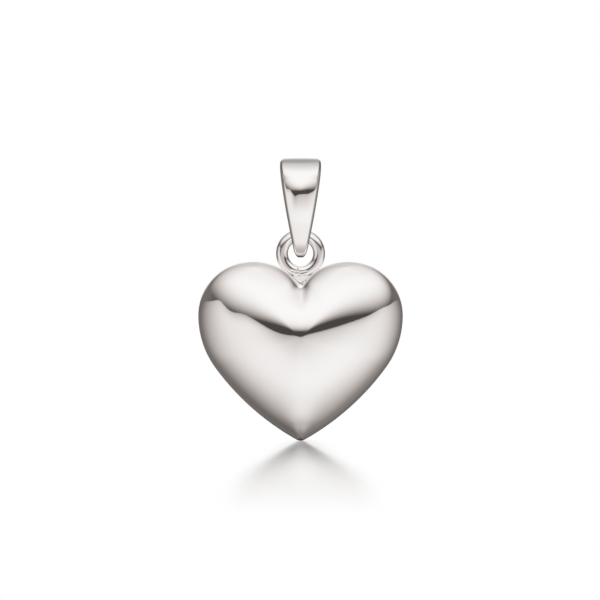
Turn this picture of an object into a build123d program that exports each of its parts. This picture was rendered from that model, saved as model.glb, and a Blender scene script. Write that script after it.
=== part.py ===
"""Puffed silver heart pendant: a hollow heart with a soldered eye, hanging from a folded strip bail.

Millimetres. +Z is up, +X is to the right as the pendant is seen, and the shown side faces -Y. The
origin is the middle of the bail's inside top, where a neck chain carries it.
"""
from build123d import *

import os
from math import atan2, cos, degrees, radians, sin, sqrt

# Heart, seen from the front
heart_width = 15.0
heart_height = 13.25  # from the tops of the lobes to the tip
cleft_depth = 1.95  # from the tops of the lobes to the bottom of the cleft
shoulder_radius = 6.5
shoulder_turn = 36.0  # degrees of outline between the widest point and the flank
straight_down = -90  # degrees, as a bearing in a sketch
tip_radius = 0.6

# Heart, seen from the side
heart_depth = 5.2
heart_wall = 0.4
peak_drop = 1.2  # from the level of the lobe centres down to the fullest point

# Eye: a closed wire ring, soldered into the cleft
eye_wire = 0.86
eye_opening = 1.86
eye_bite = 0.08  # how far the ring is sunk into the lobes
solder_thickness = 0.66
solder_root = 0.2  # how far the solder reaches into the metal below the cleft

# Bail: one tapered strip, folded over at the top, its ends soldered to a round foot
bail_height = 7.3
bail_depth = 3.4
bail_strip = 0.42
bail_top_width = 3.0
bail_belly_drop = 2.75  # from the top down to the deepest part of the loop
bail_taper_drop = 0.6  # from the top down to where the taper starts
bail_bow = 1.3  # power of the taper: above 1 the long edges bow outwards
bail_closing = 2.4  # power of the curve that closes the loop below its deepest part
bail_crown = 0.18  # doming of the strip across its full width
foot_thickness = 1.45
foot_pinch = 0.52  # half the distance between the strip's middles where its ends meet the foot

# Fits
foot_clearance = 0.45  # between the foot and the eye, on each side
eye_hang_gap = 0.27  # below the wire where it crosses the middle of the loop, down to the foot

# Levels of the puffed form, from the rim to the small flat at its peak. Depth is a share of the half
# depth, and scale shrinks the outline about the peak. The outline's arcs are then set in, its cleft is
# rounded out and its tip rounded further, by shares of the lobe radius at that scale.
heart_levels = (
    # depth, scale, inset, cleft, tip
    (0.000, 1.000, 0.00, 0.03, 0.00),
    (0.310, 1.000, 0.08, 0.12, 0.04),
    (0.588, 0.970, 0.26, 0.52, 0.12),
    (0.788, 0.873, 0.45, 1.20, 0.24),
    (0.914, 0.686, 0.60, 2.50, 0.42),
    (0.978, 0.420, 0.70, 5.00, 0.55),
    (1.000, 0.160, 0.70, 5.00, 0.55),
)

# Places on the loop that get a section: shares of the way down to the foot, and degrees round the top
loop_shares = (1.0, 0.85, 0.65, 0.40)
loop_turns = (0.0, 25.0, 50.0, 72.0, 90.0)

# The bail's places
belly_z = bail_strip - bail_belly_drop
foot_radius = eye_opening / 2 - foot_clearance
foot_z = bail_strip - bail_height + foot_radius
loop_reach = (bail_depth - bail_strip) / 2

# The eye hangs in the loop's lower end, and the heart hangs from the eye
swing_z = foot_z + foot_radius + eye_hang_gap + eye_wire / 2
eye_radius = (eye_opening + eye_wire) / 2
eye_z = swing_z - eye_radius
lobe_radius = heart_width / 2 + cleft_depth - sqrt(heart_width * cleft_depth)
lobe_x = heart_width / 2 - lobe_radius
lobe_z = eye_z - sqrt((lobe_radius + eye_radius + eye_wire / 2 - eye_bite) ** 2 - lobe_x**2)
peak_z = lobe_z - peak_drop

# The shoulder arc leaves the widest point, and the flank arc runs on from it into the round tip
shoulder_x = heart_width / 2 - shoulder_radius
turn = Vector(cos(radians(shoulder_turn)), -sin(radians(shoulder_turn)))
flank_start = Vector(shoulder_x, 0) + turn * shoulder_radius
to_tip = Vector(0, lobe_radius - heart_height + tip_radius) - flank_start
flank_radius = (to_tip.dot(to_tip) - tip_radius**2) / (-2 * (tip_radius + to_tip.dot(turn)))
flank_centre = flank_start - turn * flank_radius


def bearing(centre, point):
    """Direction from one point to another in a sketch, in degrees."""
    return degrees(atan2(point.Y - centre.Y, point.X - centre.X))


def arc(centre, radius, start, end):
    """Add the arc about a centre from one bearing to another."""
    CenterArc(centre, radius, start, end - start)


def dip(centre, radius, side):
    """Add the arc under a centre on the middle line, from a bearing across to the other side."""
    CenterArc(centre, radius, side, 2 * (straight_down - side))


def heart_section(depth, scale, inset, cleft, tip, wall, reach):
    """Outline of the heart at one level, as a face. A wall is taken off along the surface's slope."""
    lean = sqrt(1 - depth**2)
    inset = scale * inset * lobe_radius + wall * lean
    cleft = scale * cleft * lobe_radius + wall * lean
    tip = scale * (tip_radius + tip * lobe_radius) - wall * lean
    lobe = Vector(scale * lobe_x, peak_z + scale * peak_drop)
    shoulder = Vector(scale * shoulder_x, lobe.Y)
    flank = Vector(scale * flank_centre.X, lobe.Y + scale * flank_centre.Y)
    lobe_arc = scale * lobe_radius - inset
    shoulder_arc = scale * shoulder_radius - inset
    flank_arc = scale * flank_radius - inset
    notch = Vector(0, lobe.Y + sqrt((lobe_arc + cleft) ** 2 - lobe.X**2))
    point = Vector(0, flank.Y - sqrt((flank_arc - tip) ** 2 - flank.X**2))
    flank_end = bearing(flank, point)
    with BuildSketch(Plane.XZ.offset(reach * depth)) as section:
        with BuildLine():
            arc(lobe, lobe_arc, bearing(lobe, notch), 0)
            arc(shoulder, shoulder_arc, 0, -shoulder_turn)
            arc(flank, flank_arc, -shoulder_turn, flank_end)
            mirror(about=Plane.YZ)
            dip(notch, cleft, bearing(notch, lobe))
            dip(point, tip, flank_end)
        make_face()
    return section.sketch.face()


def heart_half(wall=0.0):
    """Faces of the front half from the rim to the peak, with a wall taken off all round."""
    reach = heart_depth / 2 - wall
    return [heart_section(*level, wall, reach) for level in heart_levels]


def strip_section(y, z, rise):
    """The domed strip's section where its middle is at y, z and runs along the rise."""
    drop = bail_strip - z - bail_taper_drop
    share = max(0.0, drop / (bail_strip - foot_z - bail_taper_drop))
    width = bail_top_width - (bail_top_width - 2 * foot_radius) * share**bail_bow
    crown = bail_crown * (width / bail_top_width) ** 2
    half, skin = width / 2, bail_strip / 2
    with BuildSketch(Plane(origin=(0, y, z), x_dir=(1, 0, 0), z_dir=rise)) as section:
        with BuildLine():
            ThreePointArc((-half, crown - skin), (0, -skin), (half, crown - skin))
            Line((half, crown - skin), (half, crown + skin))
            ThreePointArc((half, crown + skin), (0, skin), (-half, crown + skin))
            Line((-half, crown + skin), (-half, crown - skin))
        make_face()
    return section.sketch.face()


def strip_half():
    """Faces of the strip from the foot, up the front and over to the top."""
    faces = []
    fall = belly_z - foot_z
    close = loop_reach - foot_pinch
    for share in loop_shares:
        y = close * share**bail_closing - loop_reach
        slope = close * bail_closing * share ** (bail_closing - 1) / fall
        faces.append(strip_section(y, belly_z - share * fall, (0, -slope, 1)))
    head = bail_strip / 2 - belly_z
    for angle in loop_turns:
        across, up = cos(radians(angle)), sin(radians(angle))
        place = (-loop_reach * across, belly_z + head * up)
        faces.append(strip_section(*place, (0, loop_reach * up, head * across)))
    return faces


# The ring and the solder that fills the notch between it and the cleft
eye_centre = Vector(0, eye_z)
to_lobe = Vector(lobe_x, lobe_z) - eye_centre
solder_side = eye_centre + to_lobe * (eye_radius / to_lobe.length)
solder_foot = (0, lobe_z + sqrt(lobe_radius**2 - lobe_x**2) - solder_root)
solder_left = (-solder_side.X, solder_side.Y)
solder_right = (solder_side.X, solder_side.Y)
with BuildPart() as eye:
    with Locations((0, 0, eye_z)):
        Torus(eye_radius, eye_wire / 2, rotation=(90, 0, 0))
    with BuildSketch(Plane.XZ):
        with BuildLine():
            Polyline(solder_left, solder_foot, solder_right)
            ThreePointArc(solder_right, (0, eye_z - eye_radius), solder_left)
        make_face()
    extrude(amount=solder_thickness / 2, both=True)

with BuildPart() as heart:
    loft(sections=heart_half())
    loft(sections=heart_half(heart_wall), mode=Mode.SUBTRACT)
    mirror(about=Plane.XZ)
    add(eye.part)
heart.part.label = "heart"

with BuildPart() as bail:
    loft(sections=strip_half())
    mirror(about=Plane.XZ)
    with Locations((0, 0, foot_z)):
        Cylinder(foot_radius, foot_thickness, rotation=(90, 0, 0))
bail.part.label = "bail"

os.makedirs("parts", exist_ok=True)
export_step(heart.part, "parts/heart.step")
export_step(bail.part, "parts/bail.step")
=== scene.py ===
"""Polished silver heart pendant: a puffed, hollow heart with a soldered eye on a folded strip bail."""

from math import atan2, cos, pi, radians, sin, sqrt

import bmesh
import bpy
import numpy as np
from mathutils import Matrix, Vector, noise


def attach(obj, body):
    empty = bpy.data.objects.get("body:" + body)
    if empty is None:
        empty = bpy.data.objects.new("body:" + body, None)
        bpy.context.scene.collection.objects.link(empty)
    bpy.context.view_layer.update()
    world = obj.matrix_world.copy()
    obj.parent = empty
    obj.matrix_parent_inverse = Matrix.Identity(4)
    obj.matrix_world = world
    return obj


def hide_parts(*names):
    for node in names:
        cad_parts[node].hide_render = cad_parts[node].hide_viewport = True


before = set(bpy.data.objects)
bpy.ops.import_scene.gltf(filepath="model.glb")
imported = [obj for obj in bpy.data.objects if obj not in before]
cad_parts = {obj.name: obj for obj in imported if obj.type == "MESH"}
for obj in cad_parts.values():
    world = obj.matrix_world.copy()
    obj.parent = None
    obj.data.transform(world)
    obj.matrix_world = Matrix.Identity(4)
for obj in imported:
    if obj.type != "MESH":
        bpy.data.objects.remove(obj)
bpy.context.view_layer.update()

MM = 0.001
weld = 0.0005 * MM  # points nearer to each other than this are one point
camera_rise = 5.0  # degrees above level

# Heart, seen from the front, in millimetres
heart_width = 15.0
heart_height = 13.25  # from the tops of the lobes to the tip
cleft_depth = 1.95
shoulder_radius = 6.5
shoulder_turn = radians(36.0)
tip_radius = 0.6

# Heart, seen from the side
half_depth = 2.6
peak_drop = 1.46  # from the level of the lobe centres down to the fullest point
heart_fullness = 0.4  # how far the outline's arcs are set in at the peak, as a share of the lobe radius
heart_swell = 0.062  # how much rounder than an ellipse the form is at its peak

# Swellings of the ridge above the tip: how high, how far above the tip and how long
ridge_swellings = ((0.1, 0.95, 1.0), (0.04, 1.9, 1.0), (0.05, 0.2, 0.7))

# Eye
wire_radius = 0.43
eye_radius = 1.36  # of the wire's middle line
eye_z = -6.58
eye_bite = 0.08  # how far the ring is sunk into the lobes

# Marks left where the eye's wire was closed and soldered: a line, how deep and how wide it is. The
# first is the butt of the wire's two ends.
eye_marks = (
    (((-0.20, -7.62), (-0.16, -7.86), (-0.13, -8.27)), 0.055, 0.035),
    (((-0.64, -7.85), (-0.44, -7.92), (-0.20, -7.93)), 0.030, 0.045),
    (((-0.06, -8.00), (0.18, -7.97), (0.42, -7.90)), 0.022, 0.045),
    (((-0.06, -8.20), (0.16, -8.15), (0.40, -8.06)), 0.022, 0.045),
)

# Solder in the notch under the eye, with its pits: across, up, how wide and how deep
solder_depth = 0.33  # from the middle of the wire to the solder's front
solder_thickness = 0.64
solder_sunk = 0.1  # how far its sides reach into the lobes
solder_pits = ((0.50, -8.76, 0.09, 0.02), (0.12, -8.93, 0.09, 0.02), (0.33, -8.6, 0.07, 0.012))

# Bail
bail_height = 7.3
bail_top = 0.42
bail_top_width = 3.0
bail_taper_drop = 0.6  # from the top down to where the taper starts
bail_bow = 1.3  # power of the taper: above 1 the long edges bow outwards
bail_crown = 0.32  # doming of the strip across its full width
belly_z = -2.18
loop_reach = 1.38
loop_roof = 2.05  # how square the loop is above its belly: 2 is an ellipse
strip_thickness = 0.42
strip_edge = 0.2  # how far the rounding of the strip's edges reaches
edge_roundness = 1.5  # 2 is a round edge, and less is flatter
fold_corner = 0.12  # rounding of the two corners at the fold
foot_radius = 0.48
foot_z = -6.4
foot_pinch = 0.52  # half the distance between the strip's middles where they turn into the foot

# Places that follow from these
lobe_radius = heart_width / 2 + cleft_depth - sqrt(heart_width * cleft_depth)
lobe_x = heart_width / 2 - lobe_radius
reach_to_lobe = lobe_radius + eye_radius + wire_radius - eye_bite
lobe_z = eye_z - sqrt(reach_to_lobe**2 - lobe_x**2)
cleft_z = lobe_z + sqrt(lobe_radius**2 - lobe_x**2)
tip_z = lobe_z + lobe_radius - heart_height
shoulder_x = heart_width / 2 - shoulder_radius

# Colours
white = (1.0, 1.0, 1.0, 1)
black = (0.0, 0.0, 0.0, 1)
warm_shade = (1.0, 0.89, 0.845, 1)
bright_silver = (0.968, 0.965, 0.96, 1)
filmed_silver = (0.955, 0.942, 0.93, 1)
bright_solder = (0.95, 0.935, 0.92, 1)
filmed_solder = (0.88, 0.85, 0.82, 1)


def deselect():
    """Nothing stays selected, because an operator acts on all that is."""
    for thing in bpy.context.selected_objects:
        thing.select_set(False)


def working_on(piece):
    """The piece becomes the one that the next operators act on."""
    deselect()
    bpy.context.view_layer.objects.active = piece
    piece.select_set(True)


def newly_added(name):
    """The primitive just added, named, and with its place moved into its mesh."""
    piece = bpy.context.object
    piece.name = name
    piece.data.name = name
    bpy.ops.object.transform_apply(location=True, rotation=True, scale=True)
    return piece


def faces_outward(piece):
    """Seams are closed, faces point outwards and the shading is smooth."""
    working_on(piece)
    bpy.ops.object.mode_set(mode="EDIT")
    bpy.ops.mesh.select_all(action="SELECT")
    bpy.ops.mesh.remove_doubles(threshold=weld)
    bpy.ops.mesh.normals_make_consistent(inside=False)
    bpy.ops.object.mode_set(mode="OBJECT")
    bpy.ops.object.shade_smooth()


def apply_modifiers(piece):
    """The piece's modifiers become part of its mesh."""
    working_on(piece)
    for modifier in list(piece.modifiers):
        bpy.ops.object.modifier_apply(modifier=modifier.name)


def smooth(low, high, value):
    """Smooth step of a value from 0 at low to 1 at high."""
    share = np.clip((value - low) / (high - low), 0, 1)
    return share**2 * (3 - 2 * share)


def bell(value, middle, width):
    """Bell of a value: 1 at its middle and 0 far from it."""
    return np.exp(-(((value - middle) / width) ** 2))


def squared(value, power):
    """A cosine or sine bent by a power: 2 draws a circle, more a squarer curve and less a flatter one."""
    return abs(value) ** (2 / power) * (1 if value > 0 else -1)


def bearing(centre, point):
    """Direction from one point to another, in radians."""
    return atan2(point[1] - centre[1], point[0] - centre[0])


# The heart

def flank_circle():
    """Centre, from the middle line and the lobes' level, and radius of the arc of the flank. It runs
    on from the arc of the shoulder into the round tip."""
    turn = np.array([cos(shoulder_turn), -sin(shoulder_turn)])
    start = np.array([shoulder_x, 0.0]) + turn * shoulder_radius
    to_tip = np.array([0.0, lobe_radius - heart_height + tip_radius]) - start
    radius = (to_tip @ to_tip - tip_radius**2) / (-2 * (tip_radius + to_tip @ turn))
    return start - turn * radius, radius


def level_outline(scale, inset, cleft, tip, shares):
    """Right half of the heart's outline at one level, from the cleft to the tip, at the given shares.
    Its arcs are set in, and its cleft and tip rounded, by shares of the lobe radius at that scale."""
    arc_points = 160
    flank_centre, flank_radius = flank_circle()
    inset = scale * inset * lobe_radius
    cleft = scale * cleft * lobe_radius
    tip = scale * (tip_radius + tip * lobe_radius)
    lobe = (scale * lobe_x, lobe_z - peak_drop + scale * peak_drop)
    shoulder = (scale * shoulder_x, lobe[1])
    flank = (scale * flank_centre[0], lobe[1] + scale * flank_centre[1])
    lobe_arc = scale * lobe_radius - inset
    shoulder_arc = scale * shoulder_radius - inset
    flank_arc = scale * flank_radius - inset
    notch = (0.0, lobe[1] + sqrt((lobe_arc + cleft) ** 2 - lobe[0] ** 2))
    point = (0.0, flank[1] - sqrt((flank_arc - tip) ** 2 - flank[0] ** 2))
    arcs = (
        (notch, cleft, -pi / 2, bearing(notch, lobe)),
        (lobe, lobe_arc, bearing(lobe, notch), 0.0),
        (shoulder, shoulder_arc, 0.0, -shoulder_turn),
        (flank, flank_arc, -shoulder_turn, bearing(flank, point)),
        (point, tip, bearing(flank, point), -pi / 2),
    )
    along = []
    across = []
    up = []
    run = 0.0
    for centre, radius, start, end in arcs:
        angles = np.linspace(start, end, arc_points)
        across.append(centre[0] + radius * np.cos(angles))
        up.append(centre[1] + radius * np.sin(angles))
        along.append(run + np.linspace(0.0, abs(radius * (end - start)), arc_points))
        run = along[-1][-1]
    along = np.concatenate(along) / run
    return np.interp(shares, along, np.concatenate(across)), np.interp(shares, along, np.concatenate(up))


def crease(x, z):
    """Depth of the fine valley that runs down from the cleft and fades out towards the middle, and of
    the hollow at its top, which is steeper on its right."""
    middle = 0.08
    valley_depth, valley_width, valley_floor = 0.04, 0.3, 0.003
    valley_end, valley_length = 0.9, 2.6
    hollow_depth, hollow_right, hollow_left = 0.26, 0.36, 0.62
    hollow_low, hollow_high = -10.9, -9.1
    fade = np.clip((z - lobe_z + valley_end) / valley_length, 0, 1) ** 1.5
    away = np.sqrt((x - middle * fade) ** 2 + valley_floor)
    valley = valley_depth * fade * np.exp(-away / valley_width)
    width = np.where(x > middle, hollow_right, hollow_left)
    return valley + hollow_depth * smooth(hollow_low, hollow_high, z) * bell(x, middle, width)


def blunt(x, z):
    """Height of the swelling that keeps the ridge thick until close above the tip."""
    half_width = 1.2
    height = 0.0
    for most, middle, length in ridge_swellings:
        height = height + most * bell(z - tip_z, middle, length)
    return height * bell(x, 0.0, half_width)


def filled(x, z, rise):
    """Height of the fullness left by the soldering on both sides of the cleft."""
    most, middle_z, length, half_width = 0.28, -8.75, 0.8, 1.2
    share = smooth(0.02, 0.3, rise) * (1 - smooth(0.3, 1.0, rise))
    return most * share * bell(z, middle_z, length) * bell(x, 0.0, half_width)


def softened(placed, sheet, row, columns, rows):
    """Blends the flanks into the ridge above the tip, and the lobes into the valley under the cleft, by
    an average over the neighbours on the same level."""
    tip_width, cleft_width, furthest = 15.0, 7.0, 50
    column = np.rint((sheet[:, 0] + 1) / 2 * columns).astype(int)
    ordered = np.empty((rows + 1, columns + 1, 3))
    ordered[row, column] = placed
    ring = ordered[:, :-1]
    turn = np.abs(np.linspace(-1, 1, columns + 1)[:-1])
    rise = np.abs(np.linspace(-1, 1, rows + 1)) * pi / 2
    near_tip = smooth(0.08, 0.5, rise)[:, None] * smooth(0.55, 0.75, turn)[None, :]
    near_cleft = smooth(0.04, 0.4, rise)[:, None] * (1 - smooth(0.15, 0.4, turn))[None, :]
    shifts = np.arange(-furthest, furthest + 1)
    for share, width in ((near_tip, tip_width), (near_cleft, cleft_width)):
        weights = bell(shifts, 0.0, width)
        soft = sum(weight * np.roll(ring, shift, axis=1) for shift, weight in zip(shifts, weights))
        soft /= weights.sum()
        ring = ring * (1 - share[..., None]) + soft * share[..., None]
    ordered[:, :-1] = ring
    ordered[:, -1] = ordered[:, 0]
    return ordered[row, column]


def make_heart():
    """The struck form. Its polish shows every unevenness, so the points of a fine mesh are placed
    by the level curves of the form instead of being pushed about by hand. Across the sheet a point
    goes round the outline, from the cleft in the middle to the tip at both ends. Up the sheet it goes
    from the peak of the front over the rim to the peak of the back."""
    columns, rows = 480, 200
    crowding = 0.08  # how much closer the points lie near the cleft and the tip
    regained = 0.537  # how much of what the inset takes the scale gives back
    cleft_start, cleft_growth, cleft_power = 0.03, 0.78, 1.95
    tip_growth = 0.6
    deselect()
    bpy.ops.mesh.primitive_grid_add(x_subdivisions=columns, y_subdivisions=rows, size=2 * MM)
    heart = newly_added("heart_shell")
    count = len(heart.data.vertices)
    sheet = np.empty(count * 3, np.float32)
    heart.data.vertices.foreach_get("co", sheet)
    sheet = sheet.reshape(-1, 3).astype(float) / MM
    turn = np.abs(sheet[:, 0])
    row = np.rint((sheet[:, 1] + 1) / 2 * rows).astype(int)
    placed = np.empty_like(sheet)
    for level in range(rows + 1):
        here = row == level
        rise = abs(level / rows - 0.5) * pi
        depth = half_depth * sin(rise) * (1 if 2 * level > rows else -1)
        if level in (0, rows):
            placed[here] = (0.0, depth, lobe_z - peak_drop)
            continue
        shares = turn[here] - crowding * np.sin(2 * pi * turn[here])
        fullness = heart_fullness * sin(rise) ** 2
        rounder = ((cos(rise) ** 2 + 0.1) / 1.1) ** heart_swell
        scale = cos(rise) * rounder / (1 - regained * fullness)
        cleft = cleft_start + cleft_growth * np.tan(rise) ** cleft_power
        tip = tip_growth * sin(rise) ** 2
        across, up = level_outline(scale, fullness, cleft, tip, shares)
        across *= np.where(np.isin(turn[here], (0.0, 1.0)), 0.0, np.sign(sheet[here, 0]))
        placed[here] = np.stack([across, np.full_like(up, depth), up], 1)
    placed = softened(placed, sheet, row, columns, rows)
    rises = np.abs(sheet[:, 1]) * pi / 2
    dip = crease(placed[:, 0], placed[:, 2]) * np.sin(rises) ** 0.5
    dip -= blunt(placed[:, 0], placed[:, 2]) * np.minimum(1.0, 2 * np.sin(rises))
    dip -= filled(placed[:, 0], placed[:, 2], rises)
    placed[:, 1] -= dip * np.sign(sheet[:, 1])
    heart.data.vertices.foreach_set("co", (placed * MM).astype(np.float32).ravel())
    heart.data.update()
    faces_outward(heart)
    return heart


# The eye and its solder

def distance_to_line(x, z, line):
    """Distance in the XZ plane from a point to a run of straight lines."""
    nearest = 1e9
    for (x0, z0), (x1, z1) in zip(line, line[1:]):
        length = (x1 - x0) ** 2 + (z1 - z0) ** 2
        share = min(1.0, max(0.0, ((x - x0) * (x1 - x0) + (z - z0) * (z1 - z0)) / length))
        gap = sqrt((x - x0 - share * (x1 - x0)) ** 2 + (z - z0 - share * (z1 - z0)) ** 2)
        nearest = min(nearest, gap)
    return nearest


def make_eye():
    """The closed wire ring, its front a little flattened by the polishing, with its joint below. It
    stays round at the top, where it turns in the bail."""
    round_section, flattening = 2, 1.1
    joint_top = eye_z - 0.8
    deselect()
    bpy.ops.mesh.primitive_torus_add(location=(0, 0, eye_z * MM), rotation=(pi / 2, 0, 0),
                                     major_segments=480, minor_segments=96,
                                     major_radius=eye_radius * MM, minor_radius=wire_radius * MM)
    eye = newly_added("eye_ring")
    for vertex in eye.data.vertices:
        x, depth, z = vertex.co / MM
        around = atan2(z - eye_z, x)
        out = sqrt(x**2 + (z - eye_z) ** 2) - eye_radius
        turn = atan2(depth, out)
        flatness = round_section + flattening * (1 - smooth(0.3, 0.8, sin(around)))
        out = wire_radius * squared(cos(turn), flatness)
        depth = wire_radius * squared(sin(turn), flatness)
        x = (eye_radius + out) * cos(around)
        z = eye_z + (eye_radius + out) * sin(around)
        if depth < 0 and z < joint_top:
            for line, deep, wide in eye_marks:
                gap = distance_to_line(x, z, line)
                depth += deep * bell(gap, 0.0, wide) * min(1.0, -3 * depth)
        vertex.co = Vector((x, depth, z)) * MM
    faces_outward(eye)
    return eye


def make_solder():
    """The run of solder that fills the notch between the ring and the two lobes, front and back. It is
    a sheet from the ring down to the lobes, rippled as it set, and drawn out to the back."""
    ring_reach = 1.66  # from the middle of the eye to the sheet's upper edge
    ring_swing = radians(43)
    overlap = 0.02  # how far the sheet's ends reach past the ring along the lobes, in radians
    round_middle = 0.05  # rounding of the sheet where its two sides meet
    point_drop, point_width = 0.12, 0.3
    belly, lean = 0.1, 0.07
    ripples, unrest = 2.4, 0.45
    ripple_height, grain_height, grain_scale = 0.01, 0.008, 4.5
    deselect()
    bpy.ops.mesh.primitive_grid_add(x_subdivisions=240, y_subdivisions=64, size=2 * MM,
                                    rotation=(pi / 2, 0, 0))
    solder = newly_added("solder_run")
    to_ring = atan2(eye_z - lobe_z, -lobe_x)
    to_cleft = atan2(cleft_z - lobe_z, -lobe_x)
    lobe_turn = to_ring + overlap - to_cleft
    sunk_radius = lobe_radius - solder_sunk
    sunk_x = solder_sunk * lobe_x / lobe_radius
    for vertex in solder.data.vertices:
        side = vertex.co.x / MM
        down = (1 - vertex.co.z / MM) / 2
        hand = 1 if side > 0 else -1
        away = abs(side)
        reach = sqrt(away**2 + round_middle**2) - round_middle
        swing = away * ring_swing
        ring_x = ring_reach * sin(swing)
        ring_z = eye_z - ring_reach * cos(swing)
        low_x = lobe_x + sunk_radius * cos(to_cleft + lobe_turn * away) - sunk_x * (1 - away) ** 6
        low_z = lobe_z + sunk_radius * sin(to_cleft + lobe_turn * reach)
        x = hand * ((1 - down) * ring_x + down * low_x)
        z = (1 - down) * ring_z + down * low_z - point_drop * down * max(0.0, 1 - reach / point_width)
        y = -solder_depth + belly * sin(pi * down) * (1 - 0.5 * reach) - lean * down
        wave = noise.noise(Vector((side * 3.1, down * 1.3, 4.7)))
        ripple = sin(2 * pi * (down * ripples + unrest * wave)) * (1 - unrest + unrest * wave)
        grain = noise.noise(Vector((x * grain_scale, z * grain_scale, 1.3)))
        y += ripple_height * ripple * sin(pi * down) + grain_height * grain
        for pit_x, pit_z, size, deep in solder_pits:
            y += deep * np.exp(-((x - pit_x) ** 2 + (z - pit_z) ** 2) / size**2)
        vertex.co = Vector((x, y, z)) * MM
    working_on(solder)
    bpy.ops.object.mode_set(mode="EDIT")
    bpy.ops.mesh.select_all(action="SELECT")
    to_back = (0, solder_thickness * MM, 0)
    bpy.ops.mesh.extrude_region_move(TRANSFORM_OT_translate={"value": to_back})
    bpy.ops.object.mode_set(mode="OBJECT")
    faces_outward(solder)
    return solder


# The bail

def strip_width(z):
    """Width of the strip at one level: full above the taper, down to the foot's."""
    drop = bail_top - z - bail_taper_drop
    share = max(0.0, drop / (bail_top - foot_z - bail_taper_drop))
    return bail_top_width - (bail_top_width - 2 * foot_radius) * share**bail_bow


def strip_path(stations):
    """Middles of the strip all the way round its loop, evenly spaced, with the way that it runs there.
    Half of the loop goes round the foot, up the leg and over the belly to the fold, and is mirrored."""
    leg_steps, bend_steps, head_steps = 120, 40, 160
    heel_pull, toe_pull = 0.17, 0.26
    toe = bail_top - bail_height + strip_thickness / 2
    # The leg closes in slowly under the belly, evenly down its length and faster at the heel
    shares = np.linspace(0, 1, leg_steps + 1)
    steepness = smooth(-0.05, 0.6, shares) * (1 + 1.3 * smooth(0.8, 1.05, shares))
    closing = np.concatenate([[0], np.cumsum(steepness[1:] + steepness[:-1])])
    closing *= (loop_reach - foot_pinch) / closing[-1]
    slope = (closing[-1] - closing[-2]) * leg_steps / (belly_z - foot_z)
    heel = np.array((-foot_pinch, foot_z))
    lean = np.array((slope, -1.0)) / sqrt(1 + slope**2) * heel_pull
    bend = (np.array((0.0, toe)), np.array((-toe_pull, toe)), heel + lean, heel)
    half = []
    for t in np.linspace(0, 1, bend_steps)[:-1]:
        weights = ((1 - t) ** 3, 3 * t * (1 - t) ** 2, 3 * t**2 * (1 - t), t**3)
        half.append(sum(weight * knot for weight, knot in zip(weights, bend)))
    for share, closed in list(zip(shares, closing))[:0:-1]:
        half.append(np.array((closed - loop_reach, belly_z - share * (belly_z - foot_z))))
    head = bail_top - strip_thickness / 2 - belly_z
    for angle in np.linspace(0, pi / 2, head_steps):
        out = loop_reach * squared(cos(angle), loop_roof)
        up = head * squared(sin(angle), loop_roof)
        half.append(np.array((-out, belly_z + up)))
    half = np.array(half)
    half[-1][0] = 0.0
    loop = np.concatenate([half, half[-2:0:-1] * (-1, 1), half[:1]])
    along = np.concatenate([[0], np.cumsum(np.linalg.norm(np.diff(loop, axis=0), axis=1))])
    even = np.linspace(0, along[-1], stations + 1)[:-1]
    y = np.interp(even, along, loop[:, 0])
    z = np.interp(even, along, loop[:, 1])
    run_y = np.roll(y, -1) - np.roll(y, 1)
    run_z = np.roll(z, -1) - np.roll(z, 1)
    length = np.hypot(run_y, run_z)
    return list(zip(y, z, run_y / length, run_z / length))


def strip_outline():
    """The strip's section as shares: each point's end or middle across, its place on a round edge, and
    the face that it belongs to, 1 outside and -1 inside."""
    edge_steps, face_points = 8, 16
    outline = []
    for end in (1.0, -1.0):
        for quarter, face in enumerate((-end, end)):
            start = pi / 2 * (quarter - end)
            for step in range(edge_steps + 1):
                turn = start + pi / 2 * step / edge_steps
                round_across = squared(cos(turn), edge_roundness)
                round_out = squared(sin(turn), edge_roundness)
                outline.append((end, round_across, round_out, face))
        for share in np.linspace(end, -end, face_points)[1:-1]:
            outline.append((share, 0.0, end, end))
    return outline


def strip_section(y, z, run_y, run_z, outline):
    """The strip's section there: domed outside, its long edges rounded by the polishing wheel. It gets
    narrower round the foot, and its doming fades out over the fold."""
    foot_narrowing, foot_depth = 0.18, 0.27
    doming_top, doming_length, doming_left = 0.1, 1.1, 0.15
    doming_power = 2.6
    width = strip_width(z)
    if z < foot_z:
        width *= 1 - foot_narrowing * ((foot_z - z) / foot_depth) ** 2
    fold = min(1.0, max(0.0, (z - bail_top + strip_thickness / 2 + fold_corner) / fold_corner))
    width -= 2 * fold_corner * (1 - sqrt(1 - fold**2))
    upright = min(1.0, max(0.0, (doming_top - z) / doming_length))
    crown = bail_crown * (width / bail_top_width) ** 2 * (doming_left + (1 - doming_left) * upright)
    section = []
    for end, round_across, round_out, face in outline:
        across = end * (width / 2 - strip_edge) + round_across * strip_edge
        out = face * (strip_thickness / 2 - strip_edge) + round_out * strip_edge
        out -= crown * abs(2 * across / width) ** doming_power
        section.append(Vector((across, y - run_z * out, z + run_y * out)) * MM)
    return section


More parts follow.
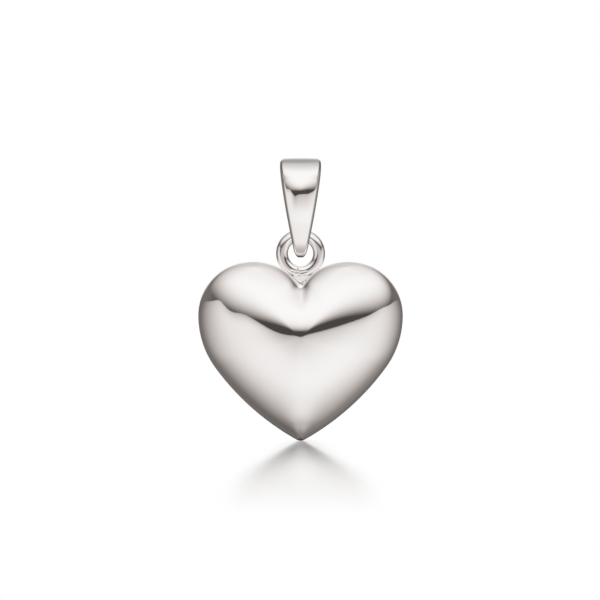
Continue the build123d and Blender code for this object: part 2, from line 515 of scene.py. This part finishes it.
def make_bail():
    """The folded strip: its section is drawn out round the loop, ring by ring."""
    stations = 120
    outline = strip_outline()
    sections = [strip_section(*place, outline) for place in strip_path(stations)]
    deselect()
    bpy.ops.mesh.primitive_circle_add(vertices=len(outline), radius=MM)
    bail = newly_added("bail_strip")
    bpy.ops.object.mode_set(mode="EDIT")
    bpy.ops.mesh.select_all(action="SELECT")
    drawn = bmesh.from_edit_mesh(bail.data)
    last = list(drawn.verts)
    for vertex, spot in zip(last, sections[0]):
        vertex.co = spot
    for section in sections[1:] + sections[:1]:
        before = {tuple(vertex.co): index for index, vertex in enumerate(last)}
        bpy.ops.mesh.extrude_edges_move()
        drawn = bmesh.from_edit_mesh(bail.data)
        fresh = [vertex for vertex in drawn.verts if vertex.select]
        last = [None] * len(outline)
        for vertex in fresh:
            last[before[tuple(vertex.co)]] = vertex
        for vertex, spot in zip(last, section):
            vertex.co = spot
    bmesh.update_edit_mesh(bail.data)
    bpy.ops.mesh.select_all(action="SELECT")
    bpy.ops.mesh.remove_doubles(threshold=weld)
    bpy.ops.object.mode_set(mode="OBJECT")
    finer = bail.modifiers.new("finer", "SUBSURF")
    finer.levels = 1
    finer.render_levels = 1
    apply_modifiers(bail)
    faces_outward(bail)
    return bail


def make_foot():
    """The solder that joins the strip's two ends, seen only from the side, sunk in its middle."""
    radius, above_foot, half_length, sink = 0.5, 0.1, 0.6, 0.45
    deselect()
    bpy.ops.mesh.primitive_uv_sphere_add(segments=64, ring_count=32, radius=radius * MM,
                                         location=(0, 0, (foot_z + above_foot) * MM),
                                         scale=(0.7, half_length / radius, 0.8))
    foot = newly_added("bail_solder")
    for vertex in foot.data.vertices:
        rise = vertex.co.z / MM - foot_z - above_foot
        if rise > 0:
            vertex.co.z -= sink * rise * (1 - (vertex.co.y / MM / half_length) ** 2) * MM
    faces_outward(foot)
    return foot


# The finishes

class Value:
    """A socket that takes part in sums as a number does: each sum adds its Math node."""

    def __init__(self, tree, socket):
        self.tree = tree
        self.socket = socket

    def math(self, operation, *after, before=()):
        """This value through a Math node, with the node's other terms before and after it."""
        node = self.tree.nodes.new("ShaderNodeMath")
        node.operation = operation
        for entry, term in zip(node.inputs, (*before, self, *after)):
            if isinstance(term, Value):
                self.tree.links.new(term.socket, entry)
            else:
                entry.default_value = term
        return Value(self.tree, node.outputs[0])

    def __add__(self, other):
        return self.math("ADD", other)

    def __radd__(self, other):
        return self.math("ADD", before=(other,))

    def __sub__(self, other):
        return self.math("SUBTRACT", other)

    def __rsub__(self, other):
        return self.math("SUBTRACT", before=(other,))

    def __mul__(self, other):
        return self.math("MULTIPLY", other)

    def __rmul__(self, other):
        return self.math("MULTIPLY", before=(other,))

    def __truediv__(self, other):
        return self.math("DIVIDE", other)

    def __rtruediv__(self, other):
        return self.math("DIVIDE", before=(other,))

    def __pow__(self, other):
        return self.math("POWER", other)

    def __rpow__(self, other):
        return self.math("POWER", before=(other,))

    def __neg__(self):
        return self.math("MULTIPLY", -1.0)

    def __abs__(self):
        return self.math("ABSOLUTE")


class Bench:
    """A node tree and the one way that nodes are put into it."""

    def __init__(self, tree):
        self.tree = tree
        tree.nodes.clear()

    def node(self, kind, settings=None, **sockets):
        """A node of a kind, with its settings, and the values or links of its named sockets."""
        node = self.tree.nodes.new("ShaderNode" + kind)
        for name, value in (settings or {}).items():
            setattr(node, name, value)
        for name, value in sockets.items():
            self.plug(node.inputs[name.replace("_", " ")], value)
        return node

    def plug(self, entry, value):
        """Gives a socket its value or its link."""
        if isinstance(value, Value):
            self.tree.links.new(value.socket, entry)
        elif isinstance(value, bpy.types.NodeSocket):
            self.tree.links.new(value, entry)
        else:
            entry.default_value = value

    def value(self, node, output=0):
        """A node's output as a value."""
        return Value(self.tree, node.outputs[output])

    def axis(self, place, index):
        """One coordinate of a place: 0 across, 1 front to back and 2 up."""
        return self.value(self.node("SeparateXYZ", Vector=place), index)

    def step(self, low, high, value):
        """Smooth step of a value from 0 at low to 1 at high."""
        node = self.node("MapRange", {"interpolation_type": "SMOOTHSTEP"})
        for entry, term in zip(node.inputs, (value, low, high, 0.0, 1.0)):
            self.plug(entry, term)
        return self.value(node)

    def hump(self, value, middle, width):
        """Bell of a value: 1 at its middle and 0 far from it."""
        away = (value - middle) / width
        return (-(away * away)).math("EXPONENT")

    def blend(self, factor, first, second):
        """Mix of two colours."""
        node = self.node("Mix", {"data_type": "RGBA"})
        self.plug(node.inputs["Factor"], factor)
        self.plug(node.inputs[6], first)
        self.plug(node.inputs[7], second)
        return node.outputs[2]

    def mixed(self, factor, first, second):
        """Mix of two shaders."""
        node = self.node("MixShader")
        for entry, term in zip(node.inputs, (factor, first, second)):
            self.plug(entry, term)
        return node.outputs[0]


def new_material(name):
    """A material, the bench for its nodes, and the place on the piece that its patterns follow."""
    material = bpy.data.materials.new(name)
    material.use_nodes = True
    bench = Bench(material.node_tree)
    return material, bench, bench.node("TexCoord").outputs["Object"]


def polished_silver(name, scratch=1.0, tarnish=0.0, haze=0.0, fold=0.0):
    """Hand-polished sterling silver: mirror bright, with the faint unevenness of the buffing. Fold is how
    much duller it is over the bail's fold and round its foot, and how far its colour is darkened there by
    painted shade."""
    fold_low, fold_high = -0.65 * MM, 0.45 * MM
    foot_high, foot_low = 6.5 * MM, 6.75 * MM
    material, bench, place = new_material(name)
    cloud = bench.value(bench.node("TexNoise", Vector=place, Scale=420.0, Detail=3.0, Roughness=0.55))
    fine = bench.value(bench.node("TexNoise", Vector=place, Scale=5200.0, Detail=4.0, Roughness=0.6))
    streaks = bench.node("Mapping", Vector=place, Scale=(900.0, 900.0, 16000.0), Rotation=(0.3, 0.2, 0.5))
    rubbed = bench.value(bench.node("TexNoise", Vector=streaks.outputs[0], Scale=1.0, Detail=5.0,
                                    Roughness=0.7))
    dull = bench.step(0.55, 0.8, cloud) * 0.02 + bench.step(0.6, 0.85, rubbed) * 0.03 * scratch
    film = bench.step(0.45, 0.75, cloud) * (0.25 + tarnish)
    height = bench.axis(place, 2)
    # Mask over the bail's fold and round its foot: it dulls the silver and darkens its colour as painted
    # shade
    dull_and_painted_shade = bench.step(fold_low, fold_high, height) + bench.step(foot_high, foot_low, -height)
    dull_and_painted_shade = dull_and_painted_shade * fold
    colour = bench.blend(film, bright_silver, filmed_silver)
    # Painted shade: the colour is darkened towards black over the fold and round the foot
    colour = bench.blend(dull_and_painted_shade, colour, black)
    bump = bench.node("Bump", Strength=0.06 * scratch, Distance=0.00001,
                      Height=fine * 0.5 + rubbed * 0.5)
    shader = bench.node("BsdfPrincipled", Base_Color=colour, Metallic=1.0,
                        Roughness=dull + 0.035 + haze + 0.3 * dull_and_painted_shade, Normal=bump.outputs[0])
    bench.node("OutputMaterial", Surface=shader.outputs[0])
    return material


def cast_solder(name):
    """Solder that has flowed and set: the same silver, a little greyer and rippled."""
    material, bench, place = new_material(name)
    ripple = bench.value(bench.node("TexNoise", Vector=place, Scale=2600.0, Detail=3.0, Roughness=0.5))
    film = bench.step(0.35, 0.75, ripple)
    colour = bench.blend(film, bright_solder, filmed_solder)
    bump = bench.node("Bump", Strength=0.35, Distance=0.00003, Height=ripple)
    shader = bench.node("BsdfPrincipled", Base_Color=colour, Metallic=1.0, Roughness=film * 0.12 + 0.07,
                        Normal=bump.outputs[0])
    bench.node("OutputMaterial", Surface=shader.outputs[0])
    return material


def wear(piece, material):
    """The piece gets this one material."""
    piece.data.materials.clear()
    piece.data.materials.append(material)


# The studio. Its tones follow from the direction alone, in degrees: level is the height above the
# camera's line of sight, around is the bearing from the camera's side, to the right, spread is the
# same without its sign, side is the bearing's sine, and rear is 1 behind the pendant.

# Dips of the table's far edge: how deep, at which bearing and how wide
edge_dips = ((11.6, -35.3, 9.6), (3.7, 34.8, 10.6), (2.4, -8.5, 6.0), (2.2, 56.0, 18.0))


def table_edge(bench, around, spread, side, rear):
    """Level of the table's far edge, where the dark gap starts. It rises to the sides."""
    left_rise, less_right = 29.8, 27.8
    on_right = bench.step(-20, 20, around) * (1 - rear) + 0.5 * rear
    rim = left_rise - less_right * on_right
    edge = (2.6 + rim * bench.step(11, 40, spread) * (1 - 0.43 * bench.step(85, 135, spread))
            + 14.0 * side * bench.step(10, 40, spread))
    for drop, middle, width in edge_dips:
        edge = edge - drop * bench.hump(around, middle, width)
    return edge


def tent_tone(bench, level, around, spread, side, rear):
    """Tone above the table's far edge: the dark gap, which fades up into the white of the tent."""
    most = 0.975
    hand = around.math("SIGN") * (spread / 20).math("MINIMUM", 1.0) * (1 - rear)
    left_card = bench.hump(around, -25.0, 36.0)
    right_card = bench.hump(around, 43.0, 40.0)
    start = 25.0 + 0.091 * spread + 0.7 * side - 17.4 * left_card - 19.4 * right_card
    width = 3.4 + (0.138 - 0.024 * hand) * spread
    gap = 0.284 + 0.146 * bench.step(30, 90, spread) - 0.006 * side
    above = (level - start).math("MAXIMUM", 0.0)
    fade = (-(above / width)).math("EXPONENT")
    tone = gap + (most - gap) * (1 - fade)
    duller_sides = 0.03 * bench.step(25, 70, spread) * (1 - rear)
    tone = tone - (0.038 + duller_sides) * bench.step(40, 80, level)
    back_wall = 0.83
    behind = bench.step(130, 162, spread) * bench.step(6, 14, level)
    behind = behind * (1 - 0.75 * bench.step(50, 88, level))
    return tone * (1 - behind) + back_wall * behind


def table_tone(bench, level, around, spread, side, edge):
    """Tone below the table's far edge: the table, greyer to the sides, near the camera and at its edge."""
    underfoot = 0.5
    table = 0.447 + 0.507 * (1 - bench.step(22, 126, spread))
    table = table + 0.036 * side * bench.step(30, 60, spread) * (1 - bench.step(100, 130, spread))
    table = table * (1 - 0.35 * bench.step(150, 175, spread))
    near = 1 - 0.246 * bench.step(21, 52, -level) * (1 - 0.876 * bench.step(80, 120, spread))
    below = (level - edge).math("MINIMUM", 0.0)
    far = 1 - 0.275 * (1 - 0.8 * bench.step(25, 55, spread)) * (below / 5.0).math("EXPONENT")
    tone = table * near * far * (1 + 0.042 * side * bench.step(20, 70, -level))
    tone = tone * (1 - 0.04 * bench.hump(around, -38.0, 24.0) * bench.hump(level, -24.0, 18.0))
    nadir = bench.step(55, 85, -level)
    return tone * (1 - nadir) + underfoot * nadir


def light_the_studio():
    """A white tent: bright above and in front, a dark gap at the height of the table's far edge."""
    gamma, exposure, warmth, backdrop_tone = 2.2, 0.96, 3.2, 1.02
    world = bpy.data.worlds.new("studio")
    bpy.context.scene.world = world
    world.use_nodes = True
    world.cycles.sampling_method = "NONE"
    bench = Bench(world.node_tree)
    ray = bench.node("SeparateXYZ", Vector=bench.node("TexCoord").outputs["Generated"])
    x, y, z = (bench.value(ray, index) for index in range(3))
    level = z.math("ARCSINE") * (180 / pi) + camera_rise
    around = x.math("ARCTAN2", -y) * (180 / pi)
    spread = abs(around)
    side = (around * (pi / 180)).math("SINE")
    rear = bench.step(140, 180, spread)
    edge = table_edge(bench, around, spread, side, rear)
    upper = tent_tone(bench, level, around, spread, side, rear)
    lower = table_tone(bench, level, around, spread, side, edge)
    over = bench.step(-0.6, 0.6, level - edge)
    tone = lower * (1 - over) + upper * over
    tone = tone - 0.04 * bench.hump(around, 0, 28) * bench.hump(level, -6, 7)
    backdrop = bench.step(150, 176, spread) * bench.step(5, 10, level)
    backdrop = backdrop * (1 - bench.step(28, 62, level))
    tone = tone * (1 - backdrop) + backdrop_tone * backdrop
    colour = bench.blend(tone ** warmth, warm_shade, white)
    mirrored = bench.node("Background", Color=colour, Strength=tone ** gamma / exposure)
    soft = bench.node("Background", Color=white, Strength=1.04)
    plain = bench.node("Background", Color=white, Strength=1.0)
    ray_kind = bench.node("LightPath")
    light = bench.mixed(ray_kind.outputs["Is Diffuse Ray"], mirrored.outputs[0], soft.outputs[0])
    whole = bench.mixed(ray_kind.outputs["Is Camera Ray"], light, plain.outputs[0])
    bench.node("OutputWorld", Surface=whole)


def lay_the_floor():
    """A white card with a little shine near the tip, and a painted contact shadow that darkens its colour
    around the tip. Its far side is burnt out to white, as in the photo, and so are its sides."""
    shine_ior = 2.2
    shine_roughness, rougher_away, rougher_grain = 0.11, 0.14, 0.02
    shine_middle, shine_half, shine_length = 0.0002, 0.0049, 0.014  # in metres, as all places here
    # Painted contact shadow on the card around the tip: how dark, how long and how wide
    contact_shade, contact_length, contact_half = 0.35, 0.01, 0.002
    deselect()
    bpy.ops.mesh.primitive_plane_add(size=2.0, location=(0, 0, tip_z * MM))
    floor = newly_added("floor")
    material, bench, place = new_material("white_card")
    grain = bench.value(bench.node("TexNoise", Vector=place, Scale=60.0, Detail=2.0))
    ahead = bench.axis(place, 1)
    aside = abs(bench.axis(place, 0) - shine_middle)
    # Painted contact shadow: the card's colour is darkened around the tip
    painted_contact_shadow = bench.hump(ahead, -0.001, contact_length) * bench.hump(aside, 0.0, contact_half)
    painted_contact_shadow = contact_shade * painted_contact_shadow
    away = bench.step(0.0, 0.05, abs(ahead))
    roughness = shine_roughness + rougher_grain * grain + rougher_away * away
    glossy = bench.node("BsdfPrincipled", Base_Color=bench.blend(painted_contact_shadow, white, black),
                        Roughness=roughness, IOR=shine_ior)
    matt = bench.node("BsdfDiffuse", Color=white)
    card = bench.mixed(bench.step(0.015, 0.065, abs(ahead)), glossy.outputs[0], matt.outputs[0])
    burnt_out = bench.node("Emission", Color=white, Strength=1.0)
    half_width = shine_half * (1 - (ahead / shine_length).math("EXPONENT"))
    in_front = 1 - bench.step(-0.0005, 0.0015, ahead)
    in_the_middle = 1 - bench.step(-0.0012, 0.0018, aside - half_width)
    surface = bench.mixed(1 - in_front * in_the_middle, card, burnt_out.outputs[0])
    bench.node("OutputMaterial", Surface=surface)
    wear(floor, material)
    floor.visible_glossy = False


def set_the_camera():
    """As in the photograph: a little above level, from a long way off."""
    frame_pixels, pixel = 600, 0.07335
    middle = Vector((-0.04, 0.0, -10.013)) * MM
    distance, height = 0.6, radians(camera_rise)
    lens = bpy.data.cameras.new("camera")
    camera = bpy.data.objects.new("camera", lens)
    bpy.context.scene.collection.objects.link(camera)
    camera.location = middle + Vector((0, -distance * cos(height), distance * sin(height)))
    camera.rotation_euler = (pi / 2 - height, 0, 0)
    lens.sensor_width = 36
    lens.lens = lens.sensor_width * distance / (frame_pixels * pixel * MM)
    lens.clip_start = 0.01
    lens.clip_end = 10
    bpy.context.scene.camera = camera


heart = make_heart()
eye = make_eye()
solder = make_solder()
bail = make_bail()
foot = make_foot()

wear(heart, polished_silver("polished_silver"))
wear(eye, polished_silver("eye_silver", tarnish=0.1, haze=0.06))
wear(solder, cast_solder("solder"))
# fold sets how much the bail is dulled and darkened by painted shade over its fold and round its foot
wear(bail, polished_silver("bail_silver", scratch=1.2, fold=0.45))
wear(foot, cast_solder("bail_joint"))

for piece in (heart, eye, solder):
    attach(piece, "heart")
    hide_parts("heart")
for piece in (bail, foot):
    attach(piece, "bail")
    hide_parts("bail")
for piece in (eye, solder, bail, foot):
    piece.visible_glossy = False

light_the_studio()
lay_the_floor()
set_the_camera()
bpy.context.scene.view_settings.view_transform = "Standard"
